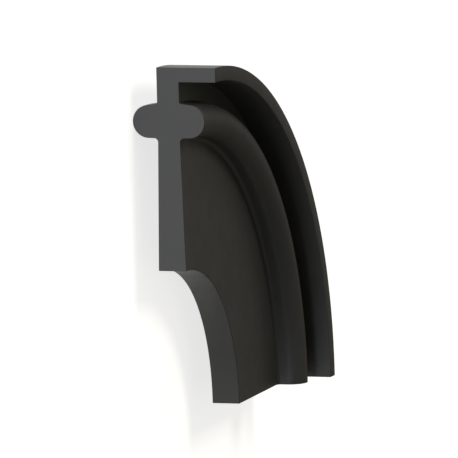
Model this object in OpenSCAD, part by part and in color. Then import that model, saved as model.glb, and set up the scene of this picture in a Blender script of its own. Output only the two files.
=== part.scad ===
// Section cut from a flanged sanitary clamp gasket: a thin rubber web with a round-ended bead
// on both faces, and a lip on one face only that grips the rim of one ferrule.
// The section lies as it comes to rest, on the crest of the bead of its plain face, with the
// ring's axis upright and the lip pointing up. One cut face looks to -Y and the other to +X. The
// origin is on the surface that it lies on, in the middle of the quarter seen from above.

/* [Bore and web] */
// Diameter of the bore, which lies flush with the inside of the tube
bore_d = 22.25; // [16:0.05:30]
// Thickness of the web where it ends at the bore
bore_t = 2.05; // [1.7:0.05:3]
// Thickness of the web at the bead and out to the rim
web_t = 1.65; // [1:0.05:2]

/* [Bead] */
// Diameter of the circle that the bead runs on, that of the grooves in the ferrules
bead_d = 43.6; // [42:0.1:44.6]
// Width of the bead across its round ends
bead_w = 2.35; // [1.8:0.05:2.8]
// How far the bead stands over each face of the web
bead_rise = 1.85; // [1.6:0.05:2.6]
// Draft of the bead's flank on the side of the rim, in degrees
rim_draft = 8; // [1:1:10]
// Draft of the bead's flank on the side of the bore, in degrees
bore_draft = 1; // [1:1:10]
// Radius where the bead meets the web on the side of the rim
rim_fillet = 0.15; // [0.1:0.05:0.3]
// Radius where the bead meets the web on the side of the bore
bore_fillet = 0.3; // [0.1:0.05:0.4]

/* [Lip] */
// Diameter inside the lip, a snug fit over the rim of the ferrule
lip_inner_d = 49.25; // [48.6:0.05:52]
// Thickness of the lip's wall
lip_t = 1.05; // [0.6:0.05:2]
// How far the lip reaches over the face of the web
lip_reach = 2.75; // [1.9:0.05:5]

/* [Cut] */
// Angle of the ring that is kept between the two cut faces
span = 90; // [15:5:180]

/* [Hidden] */
$fn = 128;

bore_r = bore_d / 2;
bead_r = bead_d / 2;
lip_inner_r = lip_inner_d / 2;
rim_r = lip_inner_r + lip_t;
web_half = web_t / 2;
bore_half = bore_t / 2;
// Radius of the bead's round end, and the height of that end's centre over the middle plane
end_r = bead_w / 2;
end_height = web_half + bead_rise - end_r;

// Profile of the gasket: x is the distance from the ring's axis and y the height over the
// middle plane of the web, with the lip on the side of +y.

// Web, thickest at the bore, thinning to the foot of the bead and level from there to the rim
module web_profile() {
    taper_end = bead_r - fillet_centre(bore_draft, bore_fillet)[0];
    polygon([
        [bore_r, -bore_half], [taper_end, -web_half], [rim_r, -web_half],
        [rim_r, web_half], [taper_end, web_half], [bore_r, bore_half]
    ]);
}

// Centre of the fillet between a flank of the bead and the face of the web. The flank touches
// the bead's round end, leans by the draft, and faces away from the bead along +x.
function fillet_centre(draft, radius) = [
    ((end_r + radius) + (end_height - web_half - radius) * sin(draft)) / cos(draft),
    web_half + radius
];

// Half of the bead on one face: from its middle line, at x = 0, out to one flank and its fillet
module bead_side(draft, radius) {
    normal = [cos(draft), sin(draft)];
    centre = fillet_centre(draft, radius);
    touch = [0, end_height] + end_r * normal;
    difference() {
        polygon([
            [0, 0], [centre[0], 0], centre, centre - radius * normal, touch, [0, end_height]
        ]);
        translate(centre) circle(r = radius);
    }
}

// Bead on the upper face, drafted on each side and closed by its round end
module bead_profile() {
    translate([bead_r, 0]) {
        bead_side(rim_draft, rim_fillet);
        mirror([1, 0]) bead_side(bore_draft, bore_fillet);
        translate([0, end_height]) circle(r = end_r);
    }
}

// Lip along the rim, square at its end, on the upper face only
module lip_profile() {
    translate([lip_inner_r, 0]) square([lip_t, web_half + lip_reach]);
}

module gasket_profile() {
    web_profile();
    bead_profile();
    mirror([0, 1]) bead_profile();
    lip_profile();
}

// The profile turned about the ring's axis, and raised until the lower bead's crest meets z = 0.
// One cut face stays in the plane y = -rim_r / 2, whatever the angle of the section.
module gasket_section() {
    bead_tip = web_half + bead_rise;
    color([0.24, 0.24, 0.24])
        translate([rim_r / 2, -rim_r / 2, bead_tip])
            rotate([0, 0, 180 - span])
                rotate_extrude(angle = span)
                    gasket_profile();
}

gasket_section();
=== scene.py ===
import math

import bmesh
import bpy
from mathutils import Matrix, Vector


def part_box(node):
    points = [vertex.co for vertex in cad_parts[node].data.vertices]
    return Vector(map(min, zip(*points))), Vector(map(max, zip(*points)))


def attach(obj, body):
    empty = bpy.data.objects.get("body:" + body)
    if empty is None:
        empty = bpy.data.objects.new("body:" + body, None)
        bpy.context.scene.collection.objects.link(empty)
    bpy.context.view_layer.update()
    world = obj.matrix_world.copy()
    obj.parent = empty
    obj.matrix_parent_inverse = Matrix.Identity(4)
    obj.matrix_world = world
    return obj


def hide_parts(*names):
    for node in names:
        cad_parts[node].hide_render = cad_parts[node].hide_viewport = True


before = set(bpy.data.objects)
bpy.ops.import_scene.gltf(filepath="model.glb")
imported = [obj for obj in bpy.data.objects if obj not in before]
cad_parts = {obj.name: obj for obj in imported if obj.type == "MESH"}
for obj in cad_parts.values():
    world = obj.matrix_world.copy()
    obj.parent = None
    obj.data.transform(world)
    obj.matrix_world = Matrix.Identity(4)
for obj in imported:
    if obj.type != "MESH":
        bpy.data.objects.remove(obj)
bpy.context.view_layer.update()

mm = 0.001
low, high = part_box("gasket_section")
ringCentre = Vector((high.x, low.y, 0))  # the ring's axis stands upright here
rimRadius = high.x - low.x


# Camera. The section lies down here and stood in the photo, so the picture is turned by a quarter
photoView = {
    "aim": Vector((-0.038, -3.188, 3.745)) * mm,  # seen in the middle of the picture
    "azimuth": math.radians(-7.961),              # 0 looks straight at the cut face that faces -Y
    "elevation": math.radians(18.360),
    "roll": math.radians(91.029),
    "distance": 814.2 * mm,
    "lens": 893.6,                                # millimetres, as the sensor is
    "sensor": 36,
}


def addCamera(view):
    azimuth, elevation = view["azimuth"], view["elevation"]
    towards = Vector((
        math.sin(azimuth) * math.cos(elevation),
        -math.cos(azimuth) * math.cos(elevation),
        math.sin(elevation),
    ))
    level = Vector((math.cos(azimuth), math.sin(azimuth), 0))
    upright = towards.cross(level)
    right = math.cos(view["roll"]) * level + math.sin(view["roll"]) * upright
    up = towards.cross(right)
    bpy.ops.object.camera_add()
    camera = bpy.context.object
    camera.name = "photoCamera"
    turn = Matrix((right, up, towards)).transposed().to_4x4()
    camera.matrix_world = Matrix.Translation(view["aim"] + view["distance"] * towards) @ turn
    camera.data.lens = view["lens"]
    camera.data.sensor_width = view["sensor"]
    bpy.context.scene.camera = camera


bpy.ops.object.select_all(action="DESELECT")
addCamera(photoView)
print("camera placed")


# Gasket section. Radii from the ring's axis, heights over the middle of the web
gasket = {
    "boreRadius": 11.125 * mm,
    "boreThickness": 2.05 * mm,
    "webThickness": 1.65 * mm,
    "beadRadius": 21.8 * mm,      # circle that the bead runs on
    "beadWidth": 2.35 * mm,
    "beadRise": 1.85 * mm,
    "rimDraft": math.radians(8),  # lean of the bead's flanks
    "boreDraft": math.radians(1),
    "rimFillet": 0.15 * mm,       # where the bead meets the web
    "boreFillet": 0.3 * mm,
    "lipInnerRadius": 24.625 * mm,
    "mouldedEdge": 0.06 * mm,     # rounding of the moulded corners
    "mouldedEdgeSteps": 4,
    "cutEdge": 0.025 * mm,        # the blade leaves these nearly sharp
    "cutEdgeSteps": 2,
    "endSteps": 32,               # faces round the bead's end
    "filletSteps": 8,
    "turnSteps": 108,             # faces along the quarter turn
    "smoothBelow": math.radians(50),
    "near": 0.0002 * mm,          # points closer than this are the same
}
webHalf = gasket["webThickness"] / 2
boreHalf = gasket["boreThickness"] / 2
endRadius = gasket["beadWidth"] / 2
endHeight = webHalf + gasket["beadRise"] - endRadius
middle = webHalf + gasket["beadRise"]  # the section lies on its lower bead
lipHeight = high.z - middle


def onSection(radius, height):
    return Vector((ringCentre.x - radius, ringCentre.y, middle + height))


def startLine(point):
    # A small plane merged to one point, from which the outline is drawn on
    bpy.ops.mesh.primitive_plane_add(size=mm, location=point)
    bpy.ops.object.mode_set(mode="EDIT")
    bpy.ops.mesh.select_mode(type="VERT")
    bpy.ops.mesh.merge(type="CENTER")


def lastPoint():
    mesh = bmesh.from_edit_mesh(bpy.context.object.data)
    return next(v.co.copy() for v in mesh.verts if v.select) + bpy.context.object.location


def drawLine(point):
    bpy.ops.mesh.extrude_region_move(TRANSFORM_OT_translate={"value": point - lastPoint()})


def drawArc(centre, angle, steps):
    # A positive angle turns clockwise, seen with the bore on the left and the lip pointing up
    bpy.ops.mesh.spin(steps=steps, angle=angle, center=centre, axis=(0, 1, 0))


def filletCentre(side):
    # Centre of a fillet at the bead's foot: how far out from the bead's middle, and how high
    reach = (endHeight - webHalf - side["fillet"]) * math.sin(side["draft"])
    return (endRadius + side["fillet"] + reach) / math.cos(side["draft"]), webHalf + side["fillet"]


def drawBead(sideIn, sideOut, face):
    # One bead, from foot to foot. face is 1 on the upper face of the web and -1 on the lower
    bead, quarter = gasket["beadRadius"], math.radians(90)
    footIn, centreIn = filletCentre(sideIn)
    footOut, centreOut = filletCentre(sideOut)
    draftIn, draftOut = sideIn["draft"], sideOut["draft"]
    drawLine(onSection(bead + sideIn["way"] * footIn, face * webHalf))
    drawArc(onSection(bead + sideIn["way"] * footIn, face * centreIn),
            draftIn - quarter, gasket["filletSteps"])
    drawLine(onSection(bead + sideIn["way"] * endRadius * math.cos(draftIn),
                       face * (endHeight + endRadius * math.sin(draftIn))))
    drawArc(onSection(bead, face * endHeight),
            2 * quarter - draftIn - draftOut, gasket["endSteps"])
    drawLine(onSection(bead + sideOut["way"] * (footOut - sideOut["fillet"] * math.cos(draftOut)),
                       face * (centreOut - sideOut["fillet"] * math.sin(draftOut))))
    drawArc(onSection(bead + sideOut["way"] * footOut, face * centreOut),
            draftOut - quarter, gasket["filletSteps"])


def drawSection():
    # Out along the upper face, round the lip and the rim, and back along the lower face
    bore, lip = gasket["boreRadius"], gasket["lipInnerRadius"]
    boreSide = {"draft": gasket["boreDraft"], "fillet": gasket["boreFillet"], "way": -1}
    rimSide = {"draft": gasket["rimDraft"], "fillet": gasket["rimFillet"], "way": 1}
    corners = [
        onSection(bore, boreHalf),
        onSection(lip, webHalf),
        onSection(lip, lipHeight),
        onSection(rimRadius, lipHeight),
        onSection(rimRadius, -webHalf),
        onSection(bore, -boreHalf),
    ]
    startLine(corners[0])
    drawBead(boreSide, rimSide, 1)
    for corner in corners[1:5]:
        drawLine(corner)
    drawBead(rimSide, boreSide, -1)
    drawLine(corners[5])
    drawLine(corners[0])
    bpy.ops.mesh.select_all(action="SELECT")
    bpy.ops.mesh.remove_doubles(threshold=gasket["near"])
    bpy.ops.mesh.edge_face_add()
    selectPlace(lambda place: any((place - corner).length < gasket["near"] for corner in corners))
    bpy.ops.mesh.bevel(affect="VERTICES", offset=gasket["mouldedEdge"],
                       segments=gasket["mouldedEdgeSteps"])


def selectPlace(wanted):
    # Selects the points that lie where wanted says, with the edges and faces between them
    bpy.ops.mesh.select_all(action="DESELECT")
    origin = bpy.context.object.location
    mesh = bmesh.from_edit_mesh(bpy.context.object.data)
    for vertex in mesh.verts:
        if wanted(vertex.co + origin):
            vertex.select_set(True)
    mesh.select_flush(True)
    bmesh.update_edit_mesh(bpy.context.object.data)


def onCut(place):
    return min(abs(place.y - ringCentre.y), abs(place.x - ringCentre.x)) < gasket["near"]


def addGasket():
    drawSection()
    bpy.ops.mesh.select_mode(type="FACE")
    bpy.ops.mesh.select_all(action="SELECT")
    bpy.ops.mesh.spin(steps=gasket["turnSteps"], angle=math.radians(90),
                      center=ringCentre, axis=(0, 0, 1))
    bpy.ops.mesh.select_all(action="SELECT")
    bpy.ops.mesh.normals_make_consistent(inside=False)
    bpy.ops.mesh.select_mode(type="EDGE")
    selectPlace(onCut)
    bpy.ops.mesh.bevel(affect="EDGES", offset=gasket["cutEdge"], segments=gasket["cutEdgeSteps"])
    bpy.ops.object.mode_set(mode="OBJECT")
    piece = bpy.context.object
    piece.name = "gasketSkin"
    bpy.ops.object.transform_apply(location=True)
    piece.data.materials.append(addRubber(mouldedRubber))
    piece.data.materials.append(addRubber(cutRubberPaintedLight))
    # The cut faces take the second rubber, whose lighter, bluer colour is painted front light
    for face in piece.data.polygons:
        if all(onCut(piece.data.vertices[i].co) for i in face.vertices):
            face.material_index = 1
    bpy.ops.object.shade_smooth_by_angle(angle=gasket["smoothBelow"])
    bpy.ops.object.modifier_add(type="WEIGHTED_NORMAL")
    piece.modifiers[0].keep_sharp = True
    bpy.ops.object.modifier_apply(modifier=piece.modifiers[0].name)
    return piece


# Moulded rubber, a satin skin with the faint mottling that a mould leaves
mouldedRubber = {
    "name": "mouldedRubber",
    "dark": (0.028, 0.028, 0.028),
    "light": (0.032, 0.032, 0.032),
    "mottle": (700, 700, 700),      # patches to the metre, each way
    "grain": (9000, 9000, 9000),
    "grainHeight": 0.002 * mm,
    "smooth": 0.49,                 # roughness of the smoothest patches, and of the roughest
    "rough": 0.55,
    "specular": 0.5,
}

# Cut rubber, with the fine drag lines that a blade leaves as it passes down through the ring. Its
# lighter, bluer colour is painted light: it stands in for the cool front light on the cut faces,
# which are the same rubber as the skin
cutRubberPaintedLight = {
    "name": "cutRubberPaintedLight",
    "dark": (0.054, 0.0545, 0.058),
    "light": (0.057, 0.0575, 0.061),
    "mottle": (900, 900, 300),
    "grain": (11000, 11000, 700),
    "grainHeight": 0.002 * mm,
    "smooth": 0.47,
    "rough": 0.53,
    "specular": 0.5,
}
noiseSpan = (0.35, 0.65)  # most of a noise lies in this span, which spreads it over the finish
mottleDetail = 3
grainDetail = 2


def addRubber(finish):
    material = bpy.data.materials.new(finish["name"])
    material.use_nodes = True
    nodes, links = material.node_tree.nodes, material.node_tree.links
    rubber = nodes["Principled BSDF"]
    rubber.inputs["Specular IOR Level"].default_value = finish["specular"]
    places = nodes.new("ShaderNodeTexCoord")

    def addNoise(scales, detail):
        spread = nodes.new("ShaderNodeMapping")
        spread.inputs["Scale"].default_value = scales
        noise = nodes.new("ShaderNodeTexNoise")
        noise.inputs["Scale"].default_value = 1
        noise.inputs["Detail"].default_value = detail
        links.new(places.outputs["Object"], spread.inputs["Vector"])
        links.new(spread.outputs["Vector"], noise.inputs["Vector"])
        return noise.outputs["Fac"]

    mottle = addNoise(finish["mottle"], mottleDetail)
    grain = addNoise(finish["grain"], grainDetail)
    both = nodes.new("ShaderNodeMix")
    links.new(mottle, both.inputs["A"])
    links.new(grain, both.inputs["B"])
    colour = nodes.new("ShaderNodeValToRGB")
    for stop, place, tone in zip(colour.color_ramp.elements, noiseSpan, ("dark", "light")):
        stop.position = place
        stop.color = (*finish[tone], 1)
    links.new(both.outputs["Result"], colour.inputs["Fac"])
    links.new(colour.outputs["Color"], rubber.inputs["Base Color"])
    polish = nodes.new("ShaderNodeMapRange")
    polish.inputs["From Min"].default_value, polish.inputs["From Max"].default_value = noiseSpan
    polish.inputs["To Min"].default_value = finish["smooth"]
    polish.inputs["To Max"].default_value = finish["rough"]
    links.new(mottle, polish.inputs["Value"])
    links.new(polish.outputs["Result"], rubber.inputs["Roughness"])
    bump = nodes.new("ShaderNodeBump")
    bump.inputs["Distance"].default_value = finish["grainHeight"]
    links.new(grain, bump.inputs["Height"])
    links.new(bump.outputs["Normal"], rubber.inputs["Normal"])
    return material


skin = addGasket()
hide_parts("gasket_section")
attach(skin, "root")
print("gasket modelled:", len(skin.data.polygons), "faces")


# Floor, plain and pale. The camera sees it white, and it still keeps the section's shadow
floor = {
    "size": 1.6,
    "colour": (0.8, 0.8, 0.8),
    "glow": 0.73,     # what the camera and reflections see on top of its own shade
}


def anyRay(nodes, links, kinds):
    # 1 for a ray of any of these kinds, and 0 for the rest
    path = nodes.new("ShaderNodeLightPath")
    found = path.outputs[kinds[0]]
    for kind in kinds[1:]:
        either = nodes.new("ShaderNodeMath")
        either.operation = "MAXIMUM"
        links.new(found, either.inputs[0])
        links.new(path.outputs[kind], either.inputs[1])
        found = either.outputs["Value"]
    return found


def addFloor():
    bpy.ops.mesh.primitive_plane_add(size=floor["size"], location=(0, 0, 0))
    piece = bpy.context.object
    piece.name = "floor"
    material = bpy.data.materials.new("paleFloor")
    material.use_nodes = True
    nodes, links = material.node_tree.nodes, material.node_tree.links
    nodes.clear()
    matt = nodes.new("ShaderNodeBsdfDiffuse")
    matt.inputs["Color"].default_value = (*floor["colour"], 1)
    glow = nodes.new("ShaderNodeEmission")
    level = nodes.new("ShaderNodeMath")
    level.operation = "MULTIPLY"
    level.inputs[1].default_value = floor["glow"]
    seenBy = anyRay(nodes, links, ("Is Camera Ray", "Is Glossy Ray", "Is Transmission Ray"))
    links.new(seenBy, level.inputs[0])
    links.new(level.outputs["Value"], glow.inputs["Strength"])
    both = nodes.new("ShaderNodeAddShader")
    links.new(matt.outputs["BSDF"], both.inputs[0])
    links.new(glow.outputs["Emission"], both.inputs[1])
    output = nodes.new("ShaderNodeOutputMaterial")
    links.new(both.outputs["Shader"], output.inputs["Surface"])
    piece.data.materials.append(material)


# Soft studio lights, each a panel that faces the section from the way given. Sizes in metres.
# Three are wide and stand low, so that they light the upright faces more than the web
studio = {
    "front": {"from": (-0.17, -0.98, 0.06), "width": 0.3, "height": 0.06, "power": 0.62,
              "colour": (0.86, 0.91, 1)},
    "corner": {"from": (-0.7, -0.7, 0.06), "width": 0.3, "height": 0.06, "power": 0.95,
               "colour": (1, 1, 1)},
    "rimSide": {"from": (-0.98, -0.17, 0.06), "width": 0.3, "height": 0.06, "power": 2.75,
                "colour": (0.95, 0.98, 1)},
    "back": {"from": (0, 0.94, 0.34), "width": 0.2, "height": 0.2, "power": 0.03,
             "colour": (1, 0.96, 0.9)},
    "overhead": {"from": (-0.64, 0.1, 0.77), "width": 0.2, "height": 0.2, "power": 1.05,
                 "colour": (1, 0.97, 0.9)},
}
lampDistance = 0.6  # from the section to each panel

# Dim light from all round
surroundings = {
    "colour": (1, 0.95, 0.75),
    "strength": 0.16,
}


def addLight(name, lamp):
    way = Vector(lamp["from"]).normalized()
    bpy.ops.object.light_add(type="AREA", location=lampDistance * way)
    light = bpy.context.object
    light.name = name + "Light"
    light.rotation_euler = way.to_track_quat("Z", "Y").to_euler()
    light.data.shape = "RECTANGLE"
    light.data.size = lamp["width"]
    light.data.size_y = lamp["height"]
    light.data.energy = lamp["power"]
    light.data.color = lamp["colour"]


def addSurroundings():
    world = bpy.data.worlds.new("surroundings")
    bpy.context.scene.world = world
    world.use_nodes = True
    background = world.node_tree.nodes["Background"]
    background.inputs["Color"].default_value = (*surroundings["colour"], 1)
    background.inputs["Strength"].default_value = surroundings["strength"]


addFloor()
for name, lamp in studio.items():
    addLight(name, lamp)
addSurroundings()
bpy.context.scene.view_settings.view_transform = "Standard"
print("floor and lights set")
